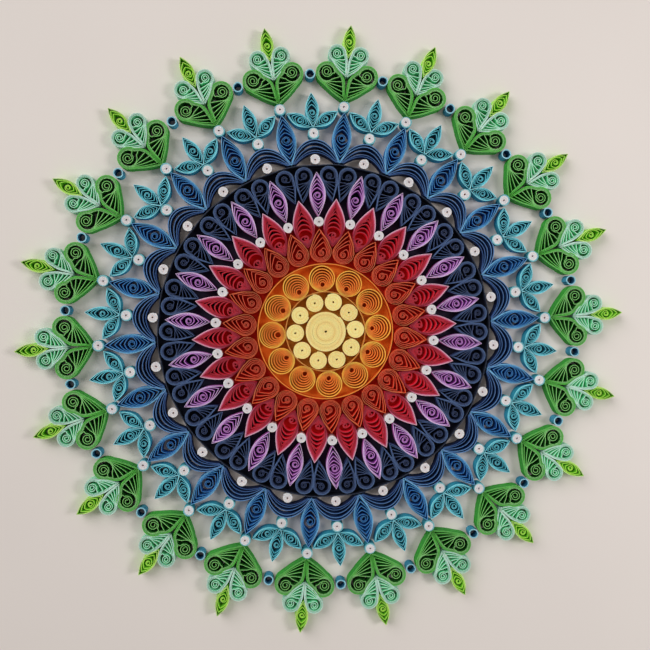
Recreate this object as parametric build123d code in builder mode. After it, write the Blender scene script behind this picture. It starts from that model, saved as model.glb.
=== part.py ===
from build123d import *
import os
from math import asin, atan2, cos, degrees, dist, hypot, log, pi, radians, sin, sqrt

# A round mandala of quilled paper on a square card. Strips of paper are rolled into coils, the coils are
# pinched to drops and leaves, and they stand on edge in rings round the centre, the inner rings on a
# round ground paper and the outer ones on the card itself.
# The origin is the middle of the card's back. +Z comes out of the picture and +Y is its top.
# A ring is laid out by sliding one coil in toward the centre until it lies one glue gap from the coils
# that are already there, and then repeating it, so a larger coil pushes the rings outside it further out.

# Card, the coloured paper under the inner rings, and the paper strip
card_thickness = 2.0
ground_thickness = 0.3
card_margin = 27.0
strip_width = 5.0
glue_gap = 0.2
ring_wall = 0.5

# How often the pieces repeat round the centre
fold = 22
yellow_count = 10
orange_count = 12

# Tight rolls, by diameter, and the hole that the rolling tool leaves in the largest
centre_diameter = 16.5
centre_hole = 1.0
yellow_diameter = 6.9
petal_roll_diameter = 4.1
arch_roll_diameter = 4.1
sprig_roll_diameter = 4.8
tip_roll_diameter = 4.7

# Loose round coils, and hollow tubes: their wall, and how far inside the narrowest place they stand
orange_diameter = 10.8
tube_diameter = 4.2
tube_wall = 0.6
tube_setback = 0.6

# Drops, by length and by the diameter of the round head
flame_length = 13.4
flame_head = 8.4
navy_length = 14.0
navy_head = 6.8
heart_length = 17.6
heart_head = 8.8
mint_length = 13.4
mint_head = 6.8

# Leaves pinched at both ends, by length and width
petal_length = 19.4
petal_width = 8.2
purple_length = 17.8
purple_width = 6.4
blue_length = 20.5
blue_width = 7.6
teal_length = 13.9
teal_width = 5.2
teal_side_length = 11.6
teal_side_width = 4.8
lime_length = 13.2
lime_width = 5.1

# How far along its length a leaf is widest
leaf_widest = 0.5
petal_widest = 0.4

# Arches on the dark ring: room over the bead, depth of the crown, its walls, and how full the curve is
arch_headroom = 0.6
arch_depth = 4.7
arch_wall = 0.6
arch_fullness = 0.7

# Angles in degrees between the inner flank of a drop or leaf and the line that its pair mirrors about
navy_splay = -6.0
teal_splay = 2.0
heart_splay = 17.0
mint_splay = 7.0

# Corners of the outlines, few because several hundred coils share them
bead_corners = 6
hole_corners = 4
roll_corners = 8
coil_corners = 10
centre_corners = 12
head_corners = 5
leaf_side_corners = 2
petal_side_corners = 3
arch_outer_corners = 5
arch_inner_corners = 4
inner_ring_corners = 2 * orange_count

# The pattern's two families of axes, clockwise from the top: one at the top, one half a pitch on
half_pitch = 180 / fold
card_face = Plane.XY.offset(card_thickness)
ground_face = Plane.XY.offset(card_thickness + ground_thickness)


def turned(outline, angle):
    """The outline turned clockwise about the centre by an angle in degrees."""
    turn = radians(angle)
    return [(x * cos(turn) + y * sin(turn), y * cos(turn) - x * sin(turn)) for x, y in outline]


def moved(outline, sideways, outward):
    """The outline shifted sideways and outward."""
    return [(x + sideways, y + outward) for x, y in outline]


def flipped(outline):
    """The outline mirrored about the line that runs outward through the centre."""
    return [(-x, y) for x, y in outline]


def even_reach(step):
    """How far beyond a circle the corners of a polygon stand, so that both have the same area."""
    return sqrt(radians(step) / sin(radians(step)))


def roll(diameter, corners):
    """A round coil about its own centre, with a flat side toward the centre of the mandala."""
    step = 360 / corners
    reach = diameter / 2 * even_reach(step)
    around = [radians(step * (k + 0.5)) for k in range(corners)]
    return [(reach * sin(a), reach * cos(a)) for a in around]


def drop_angle(length, head):
    """Half the angle at the tip of a drop."""
    return degrees(asin(head / (2 * length - head)))


def drop(length, head):
    """A drop with its tip at the start and its round head outward: straight flanks, then an arc."""
    flank = drop_angle(length, head)
    step = (180 + 2 * flank) / (head_corners - 1)
    reach = head / 2 * even_reach(step)
    around = [radians(step * k - flank) for k in range(head_corners)]
    return [(0, 0)] + [(reach * cos(a), length - head / 2 + reach * sin(a)) for a in around]


def leaf(length, width, widest, side_corners):
    """A leaf with one tip at the start and one outward: its width is a sine of a power of the length."""
    skew = log(0.5) / log(widest)
    parts = [k / (side_corners + 1) for k in range(1, side_corners + 1)]
    fill = 2 / pi * (side_corners + 1) / sum(sin(pi * part) for part in parts)
    right = [(width / 2 * fill * sin(pi * part), length * part ** (1 / skew)) for part in parts]
    return [(0, 0)] + right + [(0, length)] + flipped(right)[::-1]


def leaf_angle(outline):
    """Half the angle at the inner tip of a leaf."""
    return degrees(atan2(*outline[1]))


def ring(radius, corners):
    """A regular polygon about the centre with a flat side at the top."""
    step = 360 / corners
    around = [radians(step * (k + 0.5)) for k in range(corners)]
    return [(radius * sin(a), radius * cos(a)) for a in around]


def ray(angle):
    """The straight line outward from the centre, past the rim, that two neighbours mirror about."""
    return turned([(0, 0), (0, fold * centre_diameter)], angle)


def reach_of(outlines):
    """The greatest distance of any corner from the centre."""
    return max(hypot(x, y) for outline in outlines for x, y in outline)


def to_edge(point, start, end):
    """The distance from a point to a straight edge."""
    run = (end[0] - start[0], end[1] - start[1])
    along = ((point[0] - start[0]) * run[0] + (point[1] - start[1]) * run[1]) / (run[0] ** 2 + run[1] ** 2)
    along = min(max(along, 0), 1)
    return dist(point, (start[0] + along * run[0], start[1] + along * run[1]))


def corner_gap(first, second):
    """The least distance from the corners of one outline to the edges of another."""
    edges = [(second[k - 1], second[k]) for k in range(len(second))]
    return min(to_edge(point, start, end) for point in first for start, end in edges)


def gap_between(first, second):
    """The distance between two outlines that don't cross."""
    return min(corner_gap(first, second), corner_gap(second, first))


def beside(outline, lean):
    """The outline leaned clockwise and set one glue gap to the right of its axis."""
    leaned = turned(outline, lean)
    return moved(leaned, glue_gap - min(x for x, y in leaned), 0)


def seat(outlines, axis, neighbours):
    """Slide the outlines in along their axis until the first is one glue gap from a neighbour."""
    radius = reach_of(neighbours) + reach_of(outlines)
    room = radius
    while room > glue_gap / 1000:
        here = [turned(moved(outline, 0, radius), axis) for outline in outlines]
        room = min(gap_between(one, other) for one in here for other in neighbours) - glue_gap
        radius -= room
    return here


def arch_curve(base, rise, half_width, corners):
    """Corners of an arch over the top axis: radius is base plus rise times a power of a cosine."""
    angles = [half_width * (2 * k / (corners - 1) - 1) for k in range(corners)]
    heights = [rise * max(cos(pi / 2 * angle / half_width), 0) ** arch_fullness for angle in angles]
    return [turned([(0, base + height)], angle)[0] for angle, height in zip(angles, heights)]


def export_coils(outlines, count, label, openings=(), face=card_face):
    """Stand the outlines on a face, repeated round the centre, and write them as one group of solids."""
    with BuildPart() as coils:
        with BuildSketch(face):
            with PolarLocations(0, count):
                for outline in outlines:
                    Polygon(*outline)
                for opening in openings:
                    Polygon(*opening, mode=Mode.SUBTRACT)
        extrude(amount=strip_width)
    coils.part.label = label
    export_step(coils.part, f"parts/{label}.step")


def export_ring(inside, corners, label):
    """Stand a closed strip on the ground paper round a radius, and give its outer outline."""
    inner = ring(inside / cos(pi / corners), corners)
    outer = ring(inside / cos(pi / corners) + ring_wall, corners)
    export_coils([outer], 1, label, [inner], ground_face)
    return outer


os.makedirs("parts", exist_ok=True)

# Centre: one large tight roll, a ring of small ones and the strip that holds them
centre = roll(centre_diameter, centre_corners)
export_coils([centre], 1, "centre_coil", [roll(centre_hole, hole_corners)], ground_face)

yellow_step = 180 / yellow_count
yellow = seat([roll(yellow_diameter, roll_corners)], yellow_step, [centre, ray(0)])
export_coils(yellow, yellow_count, "yellow_rolls", face=ground_face)
inner_ring = export_ring(reach_of(yellow) + glue_gap, inner_ring_corners, "inner_ring_strip")

# Loose orange coils, and the strip round them
orange_side = ray(180 / orange_count)
orange = seat([roll(orange_diameter, coil_corners)], 0, [inner_ring, orange_side])
export_coils(orange, orange_count, "orange_coils", face=ground_face)
orange_ring = export_ring(reach_of(orange) + glue_gap, fold, "orange_ring_strip")

# Flame drops with the head inward, petals between their tips, and a white bead between the petals
flame_outline = drop(flame_length, flame_head)
flame = seat([moved(turned(flame_outline, 180), 0, flame_length)], 0, [orange_ring, ray(half_pitch)])
export_coils(flame, fold, "flame_drops", face=ground_face)

petal_outline = leaf(petal_length, petal_width, petal_widest, petal_side_corners)
petal = seat([petal_outline], half_pitch, flame + [ray(0)])
export_coils(petal, fold, "red_petals", face=ground_face)

petal_bead = seat([turned(roll(petal_roll_diameter, bead_corners), 180 / bead_corners)], 0, flame + petal)
export_coils(petal_bead, fold, "petal_beads", face=ground_face)

# Purple leaves above the beads, a pair of navy drops between them, and the dark strip round their heads
purple = seat([leaf(purple_length, purple_width, leaf_widest, leaf_side_corners)], 0, petal_bead + petal)
export_coils(purple, fold, "purple_leaves", face=ground_face)

navy_lean = drop_angle(navy_length, navy_head) + navy_splay
navy_right = beside(drop(navy_length, navy_head), navy_lean)
navy = seat([navy_right, flipped(navy_right)], half_pitch, petal + purple)
export_coils(navy, fold, "navy_drops", face=ground_face)
dark_ring = export_ring(reach_of(navy + purple) + glue_gap, fold, "dark_ring_strip")

# Arches on the dark ring, each over one white bead
arch_foot = reach_of([dark_ring]) + glue_gap
arch_half_width = half_pitch - degrees(glue_gap / arch_foot)
arch_clear = arch_roll_diameter + arch_headroom
wall_angle = degrees(arch_wall / arch_foot)
slot_half_width = arch_half_width - 2 * wall_angle
slot_rise = arch_clear + arch_depth - 2 * arch_wall
arch_outer = arch_curve(arch_foot, arch_clear + arch_depth, arch_half_width, arch_outer_corners)
arch_inner = arch_curve(arch_foot, arch_clear, slot_half_width, arch_inner_corners)
slot_outer = arch_curve(arch_foot + arch_wall, slot_rise, slot_half_width, arch_inner_corners)
slot_inner = arch_curve(arch_foot + arch_wall, arch_clear, slot_half_width, arch_inner_corners)
arch = [arch_outer + arch_inner[::-1]]
arch_slot = slot_outer[:-1] + slot_inner[:0:-1]
export_coils(arch, fold, "navy_arches", [arch_slot])

arch_bead = seat([roll(arch_roll_diameter, bead_corners)], 0, [dark_ring])
export_coils(arch_bead, fold, "arch_beads")

# Blue leaves in the valleys between the arches
blue_outline = leaf(blue_length, blue_width, leaf_widest, leaf_side_corners)
blue = seat([blue_outline], half_pitch, arch + [dark_ring])
export_coils(blue, fold, "blue_leaves")

# Teal sprigs on the arches: a bead, an upright leaf and two side leaves fanned from its foot
sprig_root = sprig_roll_diameter / 2 + glue_gap
teal_outline = leaf(teal_length, teal_width, leaf_widest, leaf_side_corners)
side_outline = leaf(teal_side_length, teal_side_width, leaf_widest, leaf_side_corners)
teal_lean = leaf_angle(teal_outline) + leaf_angle(side_outline) + teal_splay
side_start = glue_gap / sin(radians(leaf_angle(side_outline) + teal_splay))
side_right = moved(turned(moved(side_outline, 0, side_start), teal_lean), 0, sprig_root)
sprig_bead = roll(sprig_roll_diameter, bead_corners)
sprig_outlines = [sprig_bead, moved(teal_outline, 0, sprig_root), side_right, flipped(side_right)]
sprig = seat(sprig_outlines, 0, arch + blue)
export_coils(sprig[:1], fold, "sprig_beads")
export_coils(sprig[1:2], fold, "teal_leaves")
export_coils(sprig[2:], fold, "teal_side_leaves")

# White beads on the blue tips, between the sprigs
tip_bead = seat([roll(tip_roll_diameter, bead_corners)], half_pitch, blue + sprig)
export_coils(tip_bead, fold, "tip_beads")

# Green hearts on the beads, clear of the line of tubes that stand between them
tube_side = moved(ray(0), tube_diameter / 2, 0)
heart_lean = drop_angle(heart_length, heart_head) + heart_splay
heart_right = beside(drop(heart_length, heart_head), heart_lean)
heart = seat([heart_right, flipped(heart_right)], half_pitch, tip_bead + sprig + [tube_side])
export_coils(heart, fold, "green_drops")

# Blue tubes at the narrowest place between two hearts
neck_corner = min(heart[1])
tube_radius = max(neck_corner[1] - tube_setback, reach_of(sprig) + tube_diameter)
tube = [moved(roll(tube_diameter, bead_corners), 0, tube_radius)]
tube_bore = [moved(roll(tube_diameter - 2 * tube_wall, bead_corners), 0, tube_radius)]
export_coils(tube, fold, "blue_tubes", tube_bore)

# A pair of mint drops in each heart, and a lime leaf between them
mint_lean = drop_angle(mint_length, mint_head) + mint_splay
mint_right = beside(drop(mint_length, mint_head), mint_lean)
mint = seat([mint_right, flipped(mint_right)], half_pitch, heart)
export_coils(mint, fold, "mint_drops")

lime = seat([leaf(lime_length, lime_width, leaf_widest, leaf_side_corners)], half_pitch, mint)
export_coils(lime, fold, "lime_leaves")

# The card, square and wider than the mandala by the margin all round
card_side = 2 * (reach_of(lime) + card_margin)
with BuildPart() as backing_card:
    with BuildSketch():
        Rectangle(card_side, card_side)
    extrude(amount=card_thickness)
backing_card.part.label = "backing_card"
export_step(backing_card.part, "parts/backing_card.step")

# The ground paper on the card, under everything within the dark strip
with BuildPart() as ground_paper:
    with BuildSketch(card_face):
        Polygon(*dark_ring)
    extrude(amount=ground_thickness)
ground_paper.part.label = "ground_paper"
export_step(ground_paper.part, "parts/ground_paper.step")
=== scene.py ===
import bpy
import numpy as np
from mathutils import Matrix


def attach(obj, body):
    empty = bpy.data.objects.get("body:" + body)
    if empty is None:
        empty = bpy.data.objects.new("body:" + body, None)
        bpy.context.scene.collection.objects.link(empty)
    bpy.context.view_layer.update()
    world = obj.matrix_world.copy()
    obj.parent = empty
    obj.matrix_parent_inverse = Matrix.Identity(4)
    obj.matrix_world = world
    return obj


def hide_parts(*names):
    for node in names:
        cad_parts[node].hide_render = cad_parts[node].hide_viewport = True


# A round mandala of quilled paper on a white card. The CAD gives each coil as a plain block in its place;
# here every coil is the strip of paper that it is rolled from, standing on edge, with its turns to be seen.
# Lengths are in millimetres until they go into a mesh; textures, lamps and camera are in metres. A coil is
# drawn with its foot or tip at the start and its axis along +Y, then leaned, mirrored and turned clockwise
# to its axis round the centre. Colours are written as 0 to 255 on a screen.
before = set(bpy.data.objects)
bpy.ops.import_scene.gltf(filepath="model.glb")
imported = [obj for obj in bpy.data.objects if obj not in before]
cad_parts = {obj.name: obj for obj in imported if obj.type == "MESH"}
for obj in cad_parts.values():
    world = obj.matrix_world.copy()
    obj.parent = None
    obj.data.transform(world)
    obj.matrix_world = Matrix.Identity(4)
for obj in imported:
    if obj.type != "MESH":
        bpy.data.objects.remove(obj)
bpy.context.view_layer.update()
hand = np.random.default_rng(22)

MM = 0.001
TINY = 1e-6

# Rings of coils
FOLD = 22
PITCH = 360 / FOLD
HALF_PITCH = PITCH / 2

# Heights: the two faces that coils stand on, the strip, the rise from a coil's eye to its rim, and how
# unevenly coils stand
CARD_FACE = 2.0
GROUND_FACE = 2.3
STRIP_WIDTH = 5.0
TURN_RISE = 0.12
TOP_SPREAD = 0.08

# How unevenly coils of one paper are coloured, how much strip makes one unit of its map, and the degrees
# from which an edge is sharp
BATCH_SPREAD = 0.035
MAP_UNIT = 100
CREASE = 55


# Shapes

def smooth_step(value):
    """Rises from 0 to 1 with level ends: three times the square less twice the cube."""
    part = np.clip(value, 0, 1)
    return part * part * (3 - 2 * part)


def along_turns(turns, steps):
    """Places along a coil, counted in turns from its eye to its glued end."""
    return np.arange(int(round(turns * steps)) + 1) / steps


def varied(count, spread):
    """One small hand-made difference for each coil, as a column."""
    return np.clip(hand.normal(0, spread, (count, 1)), -2 * spread, 2 * spread)


def oval_turns(turn, half, foot, top, pointed=0.0, widest=0.5):
    """A coil from ovals: across is the half width times the sine of the turn. Along runs from foot to top
    as half of one less the cosine for a round oval, or evenly for a pointed leaf, raised to a power that
    puts the widest place where it belongs."""
    across = half * np.sin(2 * np.pi * turn)
    rise = 1 - np.abs(1 - 2 * (turn % 1))
    part = (1 - pointed) * (1 - np.cos(np.pi * rise)) / 2 + pointed * rise
    power = 1 + pointed * (np.log(widest) / np.log(0.5) - 1)
    return np.stack(np.broadcast_arrays(across, foot + (top - foot) * part ** power), -1)


def hoop(radius, points):
    """A closed strip: a circle round the centre."""
    turn = np.arange(points) / points
    return oval_turns(turn, np.full((1, 1), radius), -radius, radius)


def sided_hoop(flat, sides, points, ease=0.25):
    """A closed strip pulled straight between its corners: the radius to a flat side over the cosine of
    the angle from that side's middle, eased at the corners."""
    turn = np.arange(sides * points) / (sides * points)
    bend = (turn * sides + 0.5) % 1 - 0.5
    radius = flat / np.cos(2 * np.pi / sides * bend * (1 - ease * (2 * bend) ** 4))
    return np.stack([radius * np.sin(2 * np.pi * turn), radius * np.cos(2 * np.pi * turn)], -1)[None]


def tight_roll(count, diameter, hole, turns, steps, joins=(), gap=0.08):
    """A roll wound without slack: a circle whose radius grows evenly from the hole to the rim, but for a
    narrow gap at each join, where one strip ends and the next is glued on."""
    turn = along_turns(turns, steps)
    slack = sum(smooth_step((turn / turns - join) * turns) for join in joins) * gap
    radius = hole / 2 + ((diameter - hole) / 2 - gap * len(joins)) * turn / turns + slack
    line = oval_turns(turn + hand.random((count, 1)), radius, -radius, radius)
    return line, turn / turns


def loose_round(count, diameter, eye, turns, steps, pressed):
    """A loose coil pulled to one side: circles that grow evenly from the eye to the rim, each pressed
    against the last at the foot, where they lie a set distance apart."""
    turn = along_turns(turns, steps)
    part = turn / turns
    radius = eye / 2 + (diameter - eye) / 2 * part ** (1 + varied(count, spread=0.08))
    foot = -diameter / 2 + pressed * (1 - part) * turns
    line = oval_turns(turn, radius, foot, foot + 2 * radius)
    return line, np.broadcast_to(part, line.shape[:2])


def leaf(count, length, width, turns, eye_turns, eye, bundle, pinch, eye_at=0.48, steps=22, widest=0.5,
         sharpen=1.0, opening=0.8):
    """A coil pinched at both ends: a round eye, then ovals whose sides lie bundled inside the outline,
    whose ends move evenly out to the two tips, and which are more pointed the further out they lie.
    The last turn follows the outline all the way round."""
    turn = along_turns(turns, steps)
    out = np.clip((turn - eye_turns) / (turns - eye_turns - 1), 0, 1)
    join = smooth_step((turn - eye_turns) / opening)
    heart = length * (eye_at + varied(count, spread=0.03))
    eye_radius = eye / 2 * (0.5 + 0.5 * np.clip(turn / eye_turns, 0, 1))
    body_half = width / 2 - bundle * (1 - out)
    spread = out ** (1 + varied(count, spread=0.12))
    body_foot = (heart - eye / 2) * (1 - spread)
    body_top = heart + eye / 2 + (length - heart - eye / 2) * spread
    half = eye_radius + (body_half - eye_radius) * join
    foot = heart - eye_radius + (body_foot - heart + eye_radius) * join
    top = heart + eye_radius + (body_top - heart - eye_radius) * join
    line = oval_turns(turn, half, foot, top, join * (pinch + (1 - pinch) * out ** sharpen), widest)
    return line, np.broadcast_to(turn / turns, line.shape[:2])


def belly(part, power):
    """How far a flank stands out from its chord: straight off at a slope of one from the pinch, then back
    to lie level where it meets the head. It is the part times the square of one less a power of the part."""
    part = np.clip(part, 0, 1)
    return part * (1 - part ** power) ** 2


def drop(count, length, head, eye_turns, fan_turns, rim_turns, pitch, eye, eye_at, bundle, slip, even, bow,
         pull=0.0, opening=0.9):
    """A coil pinched at one end. Each turn is a circle in the head and two tangents from it to a pinch.
    In the loose turns the pinch slips back along one flank by a share a turn, so that the tangents of the
    other side fan out from tip to head, and the circles lie bundled in the head round a small eye. The
    outer turns are wound tight: each is the outline, smaller by one pitch all round. Both flanks bow
    outward, the near one with a fuller belly than the far one."""
    flank, arc, back = 6, 12, 6
    full, slim = 6, 2
    steps = flank + arc + back
    turns = eye_turns + fan_turns + rim_turns + 1
    turn = along_turns(turns, steps)

    # The outline: its head, the place where the near flank touches it, and the two ways off that flank
    radius = head / 2
    middle = np.array([0.0, length - radius])
    tip_angle = np.arcsin(radius / (length - radius))
    inward = np.array([np.cos(tip_angle), np.sin(tip_angle)])
    touch = middle - radius * inward
    chord = np.hypot(*touch)
    outward = np.array([-touch[1], touch[0]]) / chord

    # Each place's own circle and pinch, from the small eye to the outline
    loose = 1 - np.clip((turn - eye_turns) / fan_turns, 0, 1)
    join = smooth_step((turn - eye_turns) / opening)[:, None]
    inset = (bundle * loose)[:, None]
    slipped = (slip + varied(count, spread=0.05)) * loose ** (even + varied(count, spread=0.1))
    seat = np.array(eye_at) * radius + middle + hand.normal(0, 0.05 * radius, (count, 1, 2))
    eye_radius = (eye / 2 * (0.25 + 0.75 * np.clip(turn / eye_turns, 0, 1)))[:, None]
    start = seat - np.array([0.0, 1.02]) * eye_radius
    pinch = start + (slipped[..., None] * touch + inset * inward - start) * join
    centre = seat + (middle + (seat - middle) * pull * loose[:, None] - seat) * join
    circle = eye_radius + (radius - inset - eye_radius) * join
    reach = pinch - centre
    far = np.maximum(np.linalg.norm(reach, axis=-1), TINY)
    spread = np.arccos(np.clip(circle[:, 0] / far, 0, 1))

    # Up the near flank, round the head and down the far flank
    place = turn * steps % steps
    on_arc = np.clip((place - flank) / arc, 0, 1)
    angle = np.arctan2(reach[..., 1], reach[..., 0]) - spread - on_arc * (2 * np.pi - 2 * spread)
    on_head = centre + circle * np.stack([np.cos(angle), np.sin(angle)], -1)
    rising = np.clip(place / flank, 0, 1)
    falling = np.clip((place - flank - arc) / back, 0, 1)
    line = pinch + (rising * (1 - falling))[:, None] * (on_head - pinch)

    # The bow of both flanks, and the tight turns at the rim
    near_up = belly(slipped + rising * (1 - slipped), full)
    near_down = falling * belly(slipped, full)
    near = np.where(place <= flank, near_up, near_down)
    line = line + (bow[0] * chord * near)[..., None] * outward * join
    span = on_head - pinch
    away = np.where(place > flank + arc, bow[1] * belly(1 - falling, slim), 0)
    line = line + away[:, None] * np.stack([span[..., 1], -span[..., 0]], -1)
    tight = 1 - pitch / radius * np.clip(turns - 1 - turn, 0, rim_turns)
    line = middle + tight[:, None] * (line - middle)
    return line, np.broadcast_to(turn / turns, line.shape[:2])


def turned(line, angle):
    """Points turned clockwise about the centre, by an angle in degrees for each coil."""
    turn = np.radians(angle)
    across = line[..., 0] * np.cos(turn) + line[..., 1] * np.sin(turn)
    return np.stack([across, line[..., 1] * np.cos(turn) - line[..., 0] * np.sin(turn)], -1)


def set_round(line, foot, first=0.0, count=FOLD, lean=0.0, paired=False, wobble=1.0):
    """Lean each coil, move it to its foot, mirror every second one of a pair, and turn it to its axis."""
    coils = len(line)
    line = turned(line, lean + varied(coils, wobble)) + np.array(foot)
    if paired:
        line = line * np.stack([np.where(np.arange(coils) % 2, -1.0, 1.0), np.ones(coils)], -1)[:, None]
    axis = first + 360 / count * (np.arange(coils) // (2 if paired else 1))
    return turned(line, axis[:, None])


# Papers

def linear(red, green, blue):
    """A colour written as 0 to 255 on a screen, as Blender's linear light."""
    part = np.array([red, green, blue]) / 255
    light = np.where(part <= 0.04045, part / 12.92, ((part + 0.055) / 1.055) ** 2.4)
    return (*light, 1.0)


def ramp(nodes, stops, stepped=False):
    """A colour ramp from pairs of place and colour."""
    node = nodes.new("ShaderNodeValToRGB")
    node.color_ramp.interpolation = "CONSTANT" if stepped else "LINEAR"
    points = node.color_ramp.elements
    while len(points) < len(stops):
        points.new(0.5)
    for point, (place, colour) in zip(points, stops):
        point.position = place
        point.color = linear(*colour)
    return node


def plain(*colour):
    """The stops of a ramp that is one colour all along."""
    return [(0, colour), (1, colour)]


def paper(name, edges, walls, glow=0.0005):
    """Coloured strip paper. The top edge is paler than the two faces, partly the cut edge's own tone and
    partly painted light: the upward-facing edge is painted lighter and the walls darker as shade. Both
    change from the eye of the coil to its outer turns, with the inner turns painted darker as shade deep in
    the coil, beside real changes where a strip of another colour is added. Fibres mottle the colour, the
    roughness and the surface. Some light passes through the thin sheet, by the glow, so that the deep gaps
    take its colour."""
    material = bpy.data.materials.new(name)
    material.use_nodes = True
    nodes, links = material.node_tree.nodes, material.node_tree.links
    shader = nodes["Principled BSDF"]
    shader.inputs["Specular IOR Level"].default_value = 0.25
    shader.inputs["Subsurface Weight"].default_value = 0.6
    shader.inputs["Subsurface Radius"].default_value = (1.0, 0.8, 0.7)
    shader.inputs["Subsurface Scale"].default_value = glow

    # White on the second quarter round the strip, which is its top edge. The edge colours go there, partly
    # the cut edge's own tone and partly painted light on the upward-facing edge.
    strip = nodes.new("ShaderNodeUVMap")
    strip.uv_map = "strip"
    split = nodes.new("ShaderNodeSeparateXYZ")
    links.new(strip.outputs["UV"], split.inputs["Vector"])
    black, white = (0, 0, 0), (255, 255, 255)
    cut_and_lit_edge = ramp(nodes, [(0.0, black), (0.25, white), (0.5, black)], stepped=True)
    links.new(split.outputs["Y"], cut_and_lit_edge.inputs["Fac"])

    # The ramps along the wound carry painted shade: the colours darken toward the eye, deep in the coil.
    wound = nodes.new("ShaderNodeAttribute")
    wound.attribute_name = "wound"
    edge = ramp(nodes, edges)
    wall = ramp(nodes, walls)
    links.new(wound.outputs["Fac"], edge.inputs["Fac"])
    links.new(wound.outputs["Fac"], wall.inputs["Fac"])
    body = nodes.new("ShaderNodeMix")
    body.data_type = "RGBA"
    links.new(cut_and_lit_edge.outputs["Color"], body.inputs["Factor"])
    links.new(wall.outputs["Color"], body.inputs["A"])
    links.new(edge.outputs["Color"], body.inputs["B"])

    place = nodes.new("ShaderNodeTexCoord")
    fibre = nodes.new("ShaderNodeTexNoise")
    fibre.inputs["Scale"].default_value = 2600
    fibre.inputs["Detail"].default_value = 4
    fibre.inputs["Roughness"].default_value = 0.65
    links.new(place.outputs["Object"], fibre.inputs["Vector"])
    grain = nodes.new("ShaderNodeMapRange")
    grain.inputs["From Min"].default_value = 0.3
    grain.inputs["From Max"].default_value = 0.7
    grain.inputs["To Min"].default_value = 0.88
    grain.inputs["To Max"].default_value = 1.08
    links.new(fibre.outputs["Fac"], grain.inputs["Value"])
    batch = nodes.new("ShaderNodeAttribute")
    batch.attribute_name = "batch"
    shade = nodes.new("ShaderNodeMath")
    shade.operation = "MULTIPLY"
    links.new(grain.outputs["Result"], shade.inputs[0])
    links.new(batch.outputs["Fac"], shade.inputs[1])
    tint = nodes.new("ShaderNodeVectorMath")
    tint.operation = "SCALE"
    links.new(body.outputs["Result"], tint.inputs["Vector"])
    links.new(shade.outputs["Value"], tint.inputs["Scale"])
    links.new(tint.outputs["Vector"], shader.inputs["Base Color"])

    rough = nodes.new("ShaderNodeMapRange")
    rough.inputs["To Min"].default_value = 0.62
    rough.inputs["To Max"].default_value = 0.95
    links.new(fibre.outputs["Fac"], rough.inputs["Value"])
    links.new(rough.outputs["Result"], shader.inputs["Roughness"])
    bump = nodes.new("ShaderNodeBump")
    bump.inputs["Strength"].default_value = 0.35
    bump.inputs["Distance"].default_value = 0.00006
    links.new(fibre.outputs["Fac"], bump.inputs["Height"])
    links.new(bump.outputs["Normal"], shader.inputs["Normal"])
    return material


# Pieces

def stand_strips(node, material, lines, wound, thick, floor=CARD_FACE, closed=False, part="strips"):
    """Strips of paper on edge, one for each line. Half the thickness is laid off to both sides of the line
    along its normal, and the four corners of the strip's section are carried along the line. Each turn
    stands a hair higher than the one inside it."""
    coils, points, _ = lines.shape
    if closed:
        run = np.roll(lines, -1, 1) - np.roll(lines, 1, 1)
    else:
        run = np.gradient(lines, axis=1)
    run = run / np.maximum(np.linalg.norm(run, axis=2, keepdims=True), TINY)
    side = np.stack([run[..., 1], -run[..., 0]], -1) * np.asarray(thick)[..., None] / 2
    flat = np.stack([lines + side, lines + side, lines - side, lines - side], 2)
    share = np.broadcast_to(wound, (coils, points))
    top = floor + STRIP_WIDTH + varied(coils, TOP_SPREAD) + TURN_RISE * share
    low = np.full_like(top, floor)
    spots = np.concatenate([flat, np.stack([low, top, top, low], -1)[..., None]], -1) * MM

    index = np.arange(coils * points * 4).reshape(coils, points, 4)
    here = index if closed else index[:, :-1]
    ahead = np.roll(index, -1, 1) if closed else index[:, 1:]
    walls = np.stack([here, ahead, np.roll(ahead, -1, 2), np.roll(here, -1, 2)], -1).reshape(-1, 4)
    ends = np.empty((0, 4), int) if closed else np.concatenate([index[:, 0], index[:, -1, ::-1]])
    faces = np.concatenate([walls, ends])

    # The map: along the strip, and round it in four quarters, each kept a hair inside its borders
    length = np.linalg.norm(np.diff(lines, axis=1, append=lines[:, :1]), axis=2)
    travel = np.concatenate([np.zeros((coils, 1)), np.cumsum(length, 1)], 1) / MAP_UNIT
    first = np.broadcast_to(travel[:, :here.shape[1], None], here.shape)
    last = np.broadcast_to(travel[:, 1:here.shape[1] + 1, None], here.shape)
    band = np.broadcast_to(np.arange(4) / 4, here.shape)
    along = np.stack([first, last, last, first], -1).reshape(-1, 4)
    around = np.stack([band, band, band + 0.25, band + 0.25], -1).reshape(-1, 4)
    around = around + np.array([0.001, 0.001, -0.001, -0.001])
    strip_uv = np.zeros((len(faces), 4, 2))
    strip_uv[:len(walls)] = np.stack([along, around], -1)

    mesh = bpy.data.meshes.new(f"{node}_{part}")
    mesh.vertices.add(spots.size // 3)
    mesh.vertices.foreach_set("co", spots.ravel())
    mesh.loops.add(faces.size)
    mesh.loops.foreach_set("vertex_index", faces.ravel())
    mesh.polygons.add(len(faces))
    mesh.polygons.foreach_set("loop_start", np.arange(len(faces)) * 4)
    mesh.update(calc_edges=True)
    mesh.uv_layers.new(name="strip").data.foreach_set("uv", strip_uv.ravel())
    place = mesh.attributes.new("wound", "FLOAT", "POINT")
    place.data.foreach_set("value", np.repeat(share.ravel(), 4))
    batch = mesh.attributes.new("batch", "FLOAT", "POINT")
    batch.data.foreach_set("value", np.repeat(1 + varied(coils, BATCH_SPREAD).ravel(), points * 4))
    mesh.shade_smooth()
    mesh.set_sharp_from_angle(angle=np.radians(CREASE))
    mesh.materials.append(material)
    piece = bpy.data.objects.new(f"{node}_{part}", mesh)
    bpy.context.scene.collection.objects.link(piece)
    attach(piece, "root")
    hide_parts(node)


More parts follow.
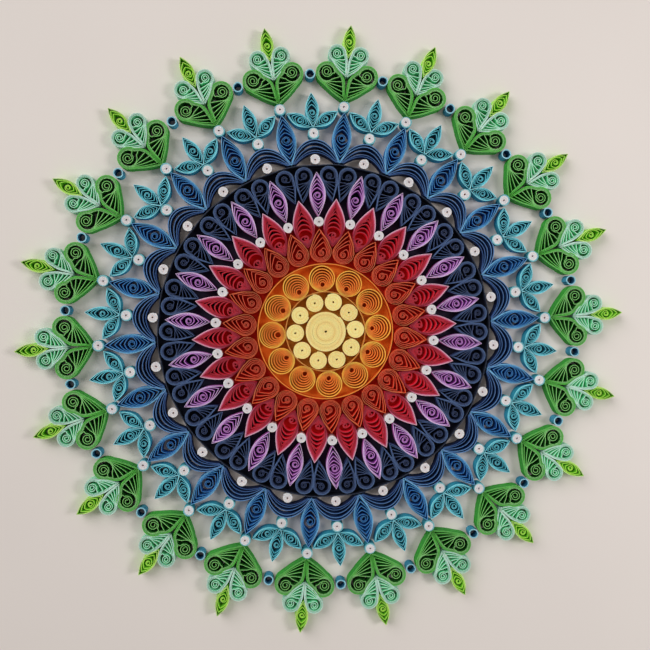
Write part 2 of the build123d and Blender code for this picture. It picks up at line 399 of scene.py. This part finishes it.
# Centre: cream rolls, and the gold strip that holds them
cream_joins = (0.42, 0.63, 0.8)
# Painted shade: the walls darken toward the eye of each roll. The changing edge tones at the joins are the
# real strips' own.
cream = paper("cream_paper",
              [(0, (255, 222, 142)), (0.28, (255, 229, 150)), (0.42, (254, 216, 134)),
               (0.63, (255, 231, 152)), (0.8, (254, 219, 138)), (1, (255, 231, 154))],
              [(0, (222, 170, 80)), (1, (240, 200, 110))],
              glow=0.0002)
line, wound = tight_roll(1, diameter=16.35, hole=1.0, turns=20, steps=56, joins=cream_joins)
stand_strips("centre_coil", cream, line, wound, thick=0.365, floor=GROUND_FACE)
line, wound = tight_roll(10, diameter=7.05, hole=0.8, turns=9, steps=28)
line = set_round(line, (0, 12.38), first=18, count=10)
stand_strips("yellow_rolls", cream, line, wound, thick=0.335, floor=GROUND_FACE)
gold = paper("gold_paper", plain(206, 140, 66), plain(206, 122, 30))
line = hoop(radius=16.32, points=120)
stand_strips("inner_ring_strip", gold, line, 0.5, thick=0.34, floor=GROUND_FACE, closed=True)

# Loose orange coils with their eyes toward the centre, and the rust strip round them
# Painted shade: edges and walls darken toward the eye of each coil.
orange = paper("orange_paper",
               [(0, (248, 122, 42)), (0.6, (250, 130, 44)), (0.82, (254, 164, 56)), (1, (255, 190, 76))],
               [(0, (252, 118, 36)), (0.8, (254, 134, 38)), (1, (255, 160, 46))],
               glow=0.001)
line, wound = loose_round(12, diameter=11.1, eye=1.8, turns=7, steps=28, pressed=0.27)
line = set_round(line, (0, 22.0), count=12, wobble=0.6)
stand_strips("orange_coils", orange, line, wound, thick=0.4, floor=GROUND_FACE)
rust = paper("rust_paper", plain(232, 142, 56), plain(226, 104, 28))
line = hoop(radius=27.75, points=132)
stand_strips("orange_ring_strip", rust, line, 0.5, thick=0.34, floor=GROUND_FACE, closed=True)

# Flame drops, head inward
# Painted shade: edges and walls darken toward the eye of each drop.
flame = paper("flame_paper",
              [(0, (214, 82, 56)), (0.7, (220, 88, 58)), (1, (236, 112, 64))],
              [(0, (234, 50, 30)), (1, (242, 64, 30))],
              glow=0.001)
line, wound = drop(FOLD, length=13.5, head=8.7, eye_turns=1.5, fan_turns=3.9, rim_turns=0.0, pitch=0.26,
                   eye=2.2, eye_at=(0, 0.1), bundle=2.5, slip=0.92, even=0.8, bow=(0.09, 0.17), pull=0.6)
line = set_round(line, (0, 42.06), lean=180, wobble=0.0)
stand_strips("flame_drops", flame, line, wound, thick=0.23, floor=GROUND_FACE)

# Red petals: a deep red coil wrapped in turns of brighter red and pink, and the white rolls between them.
# The wraps grow evenly but for the last, which lies on the outline and is doubled. The pink is strongest
# on the outer wraps and toward the tip.
deep_red = paper("deep_red_paper",
                 [(0, (168, 40, 54)), (1, (174, 40, 58))],
                 [(0, (242, 28, 54)), (1, (246, 34, 64))],
                 glow=0.001)
petal_widest = 0.46
line, wound = leaf(FOLD, length=14.2, width=7.2, turns=7.4, eye_turns=1.3, eye=1.8, bundle=0.8, pinch=0.0,
                   eye_at=0.25, steps=26, widest=petal_widest, sharpen=4.0)
line = set_round(line, (0, 36.0), first=HALF_PITCH, wobble=0.4)
stand_strips("red_petals", deep_red, line, wound, thick=0.34, floor=GROUND_FACE,
             part="coils")
bright_red = paper("bright_red_paper",
                   [(0, (164, 30, 46)), (0.46, (180, 34, 56)), (0.62, (224, 76, 116)),
                    (0.8, (250, 146, 178)), (1, (255, 190, 208))],
                   [(0, (232, 22, 54)), (0.7, (236, 36, 78)), (1, (246, 120, 160))],
                   glow=0.0008)
wraps = 8
turn = along_turns(wraps, 26)
out = np.clip(turn / (wraps - 1), 0, 1)
half = 3.35 + 0.83 * out + varied(FOLD, spread=0.04)
foot = 0.7 - 0.7 * out
tip = 15.9 + 3.4 * out
line = oval_turns(turn, half, foot, tip, pointed=1.0, widest=petal_widest)
pink = turn / wraps * (0.36 + 0.64 * smooth_step(line[..., 1] / 8 - 0.5))
doubled = 0.21 + 0.14 * smooth_step(2 * turn - 13)
line = set_round(line, (0, 35.12), first=HALF_PITCH, wobble=0.4)
stand_strips("red_petals", bright_red, line, pink, thick=doubled, floor=GROUND_FACE,
             part="wraps")
# Painted shade: a slight darkening toward the eye of each roll.
white = paper("white_paper",
              [(0, (228, 214, 214)), (1, (236, 230, 230))],
              [(0, (214, 190, 190)), (1, (228, 218, 218))])
line, wound = tight_roll(FOLD, diameter=4.0, hole=0.75, turns=5.5, steps=18)
line = set_round(line, (0, 45.08))
stand_strips("petal_beads", white, line, wound, thick=0.27, floor=GROUND_FACE)

# Purple leaves, navy drops in pairs between them, and the dark strip round both
# Painted shade: edges and walls darken toward the eye of each leaf.
orchid = paper("orchid_paper",
               [(0, (194, 126, 206)), (0.5, (214, 148, 224)), (1, (246, 208, 252))],
               [(0, (124, 54, 138)), (0.4, (172, 86, 186)), (1, (212, 132, 230))],
               glow=0.0008)
line, wound = leaf(FOLD, length=17.8, width=6.5, turns=7.0, eye_turns=1.4, eye=2.3, bundle=1.05, pinch=0.4)
line = set_round(line, (0, 47.53))
stand_strips("purple_leaves", orchid, line, wound, thick=0.22, floor=GROUND_FACE)
# Painted shade: edges and walls darken toward the eye of each drop.
navy = paper("navy_paper",
             [(0, (52, 64, 98)), (0.6, (58, 76, 114)), (1, (80, 104, 148))],
             [(0, (28, 36, 62)), (1, (46, 64, 104))])
line, wound = drop(2 * FOLD, length=14.2, head=7.2, eye_turns=1.6, fan_turns=5.6, rim_turns=0.6, pitch=0.25,
                   eye=2.5, eye_at=(0, 0), bundle=0.85, slip=1.0, even=1.0, bow=(0.1, 0.17))
line = set_round(line, (1.52, 53.58), first=HALF_PITCH, lean=12.71, paired=True)
stand_strips("navy_drops", navy, line, wound, thick=0.22, floor=GROUND_FACE)
midnight = paper("midnight_paper", plain(40, 48, 66), plain(18, 22, 36))
line = sided_hoop(flat=68.1, sides=FOLD, points=8)
stand_strips("dark_ring_strip", midnight, line, 0.5, thick=0.36, floor=GROUND_FACE, closed=True)

# Arches: five strips that part at the crown and meet at the feet, each arch over a white roll. The rise
# over the feet is the crown's times a power of the cosine, and that power falls from layer to layer.
# Painted light: the strips grow lighter from the innermost to the outermost, with painted shade on the low
# inner strips and a painted highlight on the outer ones.
indigo = paper("indigo_paper",
               [(0, (46, 78, 130)), (1, (92, 134, 182))],
               [(0, (12, 30, 72)), (1, (24, 60, 116))])
layers = [0, 0.17, 0.46, 0.8, 1]
arch_foot = 69.4
sweep = np.linspace(-1, 1, 25)
layer = np.tile(layers, FOLD)[:, None]
crown = 3.95 + 5.2 * layer + varied(len(layers) * FOLD, spread=0.1)
height = arch_foot + crown * np.maximum(np.cos(np.pi / 2 * sweep), 0) ** (1 - 0.3 * layer)
angle = np.radians((6.9 + 1.05 * layer) * sweep)
line = np.stack([height * np.sin(angle), height * np.cos(angle)], -1)
line = turned(line, np.repeat(PITCH * np.arange(FOLD), len(layers))[:, None])
stand_strips("navy_arches", indigo, line, layer, thick=0.32)
line, wound = tight_roll(FOLD, diameter=4.0, hole=0.75, turns=5.5, steps=18)
line = set_round(line, (0, 70.51))
stand_strips("arch_beads", white, line, wound, thick=0.27)

# Blue leaves in the valleys between the arches
# Painted shade: edges and walls darken toward the eye of each leaf.
blue = paper("blue_paper",
             [(0, (54, 114, 172)), (0.6, (64, 134, 194)), (1, (126, 190, 228))],
             [(0, (12, 52, 116)), (0.4, (24, 84, 158)), (1, (46, 130, 204))])
line, wound = leaf(FOLD, length=20.5, width=7.7, turns=7.4, eye_turns=1.4, eye=2.7, bundle=1.25, pinch=0.4)
line = set_round(line, (0, 69.31), first=HALF_PITCH)
stand_strips("blue_leaves", blue, line, wound, thick=0.23)

# Teal sprigs and the white rolls with a teal wrap
# Painted shade: the white turns darken slightly toward the eye. The teal outer wrap is the real paper's
# colour.
wrapped = paper("wrapped_paper",
                [(0, (228, 216, 216)), (0.74, (234, 230, 230)), (0.78, (150, 200, 206)),
                 (1, (104, 178, 188))],
                [(0, (206, 190, 190)), (0.74, (220, 212, 212)), (0.78, (54, 142, 154)),
                 (1, (50, 140, 154))])
line, wound = tight_roll(FOLD, diameter=4.7, hole=0.75, turns=6.5, steps=18)
line = set_round(line, (0, 81.14))
stand_strips("sprig_beads", wrapped, line, wound, thick=0.28)
# Painted shade: edges and walls darken toward the eye of each leaf.
teal = paper("teal_paper",
             [(0, (92, 182, 198)), (0.6, (104, 202, 218)), (1, (148, 230, 242))],
             [(0, (18, 92, 114)), (1, (52, 162, 186))])
line, wound = leaf(FOLD, length=13.9, width=5.4, turns=6.2, eye_turns=1.3, eye=2.0, bundle=0.95, pinch=0.45)
line = set_round(line, (0, 83.74))
stand_strips("teal_leaves", teal, line, wound, thick=0.23)
line, wound = leaf(2 * FOLD, length=11.6, width=5.0, turns=6.0, eye_turns=1.3, eye=1.9, bundle=0.9,
                   pinch=0.45)
line = set_round(line, (0.32, 83.93), lean=60.84, paired=True)
stand_strips("teal_side_leaves", teal, line, wound, thick=0.22)
line, wound = tight_roll(FOLD, diameter=4.6, hole=0.75, turns=6.5, steps=18)
line = set_round(line, (0, 92.25), first=HALF_PITCH)
stand_strips("tip_beads", wrapped, line, wound, thick=0.27)

# Green hearts of two drops, and the blue tubes between them
# Painted shade: the walls darken strongly toward the eye of each drop.
green = paper("green_paper",
              [(0, (126, 194, 108)), (0.5, (132, 204, 116)), (0.75, (94, 184, 78)), (0.9, (80, 176, 64)),
               (1, (122, 212, 104))],
              [(0, (16, 78, 16)), (0.6, (26, 112, 26)), (1, (56, 160, 52))])
line, wound = drop(2 * FOLD, length=17.8, head=8.9, eye_turns=1.5, fan_turns=6.2, rim_turns=1.3, pitch=0.27,
                   eye=4.2, eye_at=(0, 0.05), bundle=0.95, slip=1.1, even=1.2, bow=(0.27, 0.12))
line = set_round(line, (0.2, 94.71), first=HALF_PITCH, lean=35.8, paired=True)
stand_strips("green_drops", green, line, wound, thick=0.27)
# Painted shade: the walls darken toward the inner turn of each tube.
cyan = paper("cyan_paper",
             [(0, (136, 194, 212)), (1, (152, 208, 222))],
             [(0, (22, 78, 116)), (1, (64, 150, 182))])
line, wound = tight_roll(FOLD, diameter=4.0, hole=3.1, turns=2, steps=28)
line = set_round(line, (0, 105.37))
stand_strips("blue_tubes", cyan, line, wound, thick=0.26)

# Mint drops in the hearts, and the lime leaves between them
# Painted shade: edges and walls darken toward the eye of each drop.
mint = paper("mint_paper",
             [(0, (180, 242, 204)), (0.6, (186, 246, 208)), (1, (216, 255, 232))],
             [(0, (116, 220, 164)), (1, (164, 242, 200))],
             glow=0.0007)
line, wound = drop(2 * FOLD, length=13.7, head=7.1, eye_turns=1.4, fan_turns=5.2, rim_turns=1.4, pitch=0.25,
                   eye=3.2, eye_at=(0, 0.05), bundle=0.7, slip=1.05, even=1.1, bow=(0.1, 0.2))
line = set_round(line, (0.2, 104.48), first=HALF_PITCH, lean=26.88, paired=True)
stand_strips("mint_drops", mint, line, wound, thick=0.25)
# Painted shade: edges and walls darken toward the eye of each leaf.
lime = paper("lime_paper",
             [(0, (166, 226, 76)), (0.6, (168, 228, 80)), (1, (214, 246, 150))],
             [(0, (108, 200, 36)), (1, (160, 234, 66))],
             glow=0.0007)
line, wound = leaf(FOLD, length=13.2, width=5.1, turns=5.6, eye_turns=1.3, eye=1.8, bundle=0.95, pinch=0.45)
line = set_round(line, (0, 112.33), first=HALF_PITCH)
stand_strips("lime_leaves", lime, line, wound, thick=0.27)


# Card and floor

def board(name, tooth_scale, tooth_depth):
    """Dull board, without a colour yet: noise is a fine tooth in the roughness and the surface."""
    material = bpy.data.materials.new(name)
    material.use_nodes = True
    nodes, links = material.node_tree.nodes, material.node_tree.links
    shader = nodes["Principled BSDF"]
    shader.inputs["Specular IOR Level"].default_value = 0.2
    place = nodes.new("ShaderNodeTexCoord")
    tooth = nodes.new("ShaderNodeTexNoise")
    tooth.inputs["Scale"].default_value = tooth_scale
    tooth.inputs["Detail"].default_value = 5
    links.new(place.outputs["Object"], tooth.inputs["Vector"])
    rough = nodes.new("ShaderNodeMapRange")
    rough.inputs["To Min"].default_value = 0.7
    rough.inputs["To Max"].default_value = 0.95
    links.new(tooth.outputs["Fac"], rough.inputs["Value"])
    links.new(rough.outputs["Result"], shader.inputs["Roughness"])
    bump = nodes.new("ShaderNodeBump")
    bump.inputs["Strength"].default_value = 0.25
    bump.inputs["Distance"].default_value = tooth_depth
    links.new(tooth.outputs["Fac"], bump.inputs["Height"])
    links.new(bump.outputs["Normal"], shader.inputs["Normal"])
    return material


def pale_board(name, colour, tooth_scale, tooth_depth, darker=0.985):
    """Board of one colour, with a broad faint cloud in it."""
    material = board(name, tooth_scale, tooth_depth)
    nodes, links = material.node_tree.nodes, material.node_tree.links
    cloud = nodes.new("ShaderNodeTexNoise")
    cloud.inputs["Scale"].default_value = 9
    cloud.inputs["Detail"].default_value = 3
    links.new(nodes["Texture Coordinate"].outputs["Object"], cloud.inputs["Vector"])
    tone = ramp(nodes, [(0.3, [darker * part for part in colour]), (0.7, colour)])
    links.new(cloud.outputs["Fac"], tone.inputs["Fac"])
    links.new(tone.outputs["Color"], nodes["Principled BSDF"].inputs["Base Color"])
    return material


def ringed_sheet(name, reach, stops, tooth_scale, tooth_depth):
    """Thin paper coloured in rings: the distance from the centre, as a part of its reach, picks the
    colour."""
    material = board(name, tooth_scale, tooth_depth)
    nodes, links = material.node_tree.nodes, material.node_tree.links
    away = nodes.new("ShaderNodeVectorMath")
    away.operation = "LENGTH"
    links.new(nodes["Texture Coordinate"].outputs["Object"], away.inputs[0])
    part = nodes.new("ShaderNodeMapRange")
    part.inputs["From Max"].default_value = reach
    links.new(away.outputs["Value"], part.inputs["Value"])
    rings = ramp(nodes, stops)
    links.new(part.outputs["Result"], rings.inputs["Fac"])
    links.new(rings.outputs["Color"], nodes["Principled BSDF"].inputs["Base Color"])
    return material


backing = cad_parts["backing_card"]
backing.data.materials.clear()
backing.data.materials.append(pale_board("white_card", (224, 215, 209), 1400, 0.00004))

# From gold through orange and red to near black
ground_stops = [(0.0, (232, 168, 70)), (0.225, (224, 150, 52)), (0.24, (250, 160, 56)),
                (0.395, (246, 140, 46)), (0.41, (214, 54, 32)), (0.635, (196, 30, 36)),
                (0.66, (34, 30, 46)), (1.0, (26, 30, 46))]
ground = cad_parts["ground_paper"]
ground.data.materials.clear()
ground.data.materials.append(ringed_sheet("ground_sheet", 0.07, ground_stops, 1400, 0.00004))

floor_half, floor_level = 0.9, -0.0004
reach = np.array([-1.0, 1.0]) * floor_half
floor_spots = np.stack([*np.meshgrid(reach, reach), np.full((2, 2), floor_level)], -1).reshape(-1, 3)
floor_mesh = bpy.data.meshes.new("floor")
floor_mesh.from_pydata(floor_spots.tolist(), [], [(0, 1, 3, 2)])
floor_mesh.materials.append(pale_board("floor_board", (224, 222, 218), 300, 0.0001))
floor = bpy.data.objects.new("floor", floor_mesh)
bpy.context.scene.collection.objects.link(floor)


# Light and camera

def lamp(name, size, power, place):
    """A round soft lamp that faces the centre: tipped by the angle of its side distance over the rest, and
    swung by the angle of its distance across over its height."""
    across, side, up = place
    light = bpy.data.lights.new(name, "AREA")
    light.shape = "DISK"
    light.size = size
    light.energy = power
    stand = bpy.data.objects.new(name, light)
    stand.location = place
    stand.rotation_euler = (np.arctan2(-side, np.hypot(across, up)), np.arctan2(across, up), 0)
    bpy.context.scene.collection.objects.link(stand)


lamp("window_light", size=0.2, power=1.28, place=(0.42, 0.0, 0.46))
lamp("ceiling_light", size=1.2, power=13.6, place=(-0.75, 0.78, 0.95))

world = bpy.data.worlds.new("room_light")
world.use_nodes = True
world.node_tree.nodes["Background"].inputs["Color"].default_value = (1.0, 0.97, 0.94, 1)
world.node_tree.nodes["Background"].inputs["Strength"].default_value = 0.33
bpy.context.scene.world = world

camera = bpy.data.cameras.new("camera")
camera.sensor_width = 36
camera.lens = 39.6
camera_view = bpy.data.objects.new("camera", camera)
camera_view.location = (-0.01734, 0.01055, 0.30064)
camera_view.rotation_euler = np.radians([-1.332, -3.452, -3.457])
bpy.context.scene.collection.objects.link(camera_view)
bpy.context.scene.camera = camera_view
bpy.context.scene.view_settings.view_transform = "Standard"
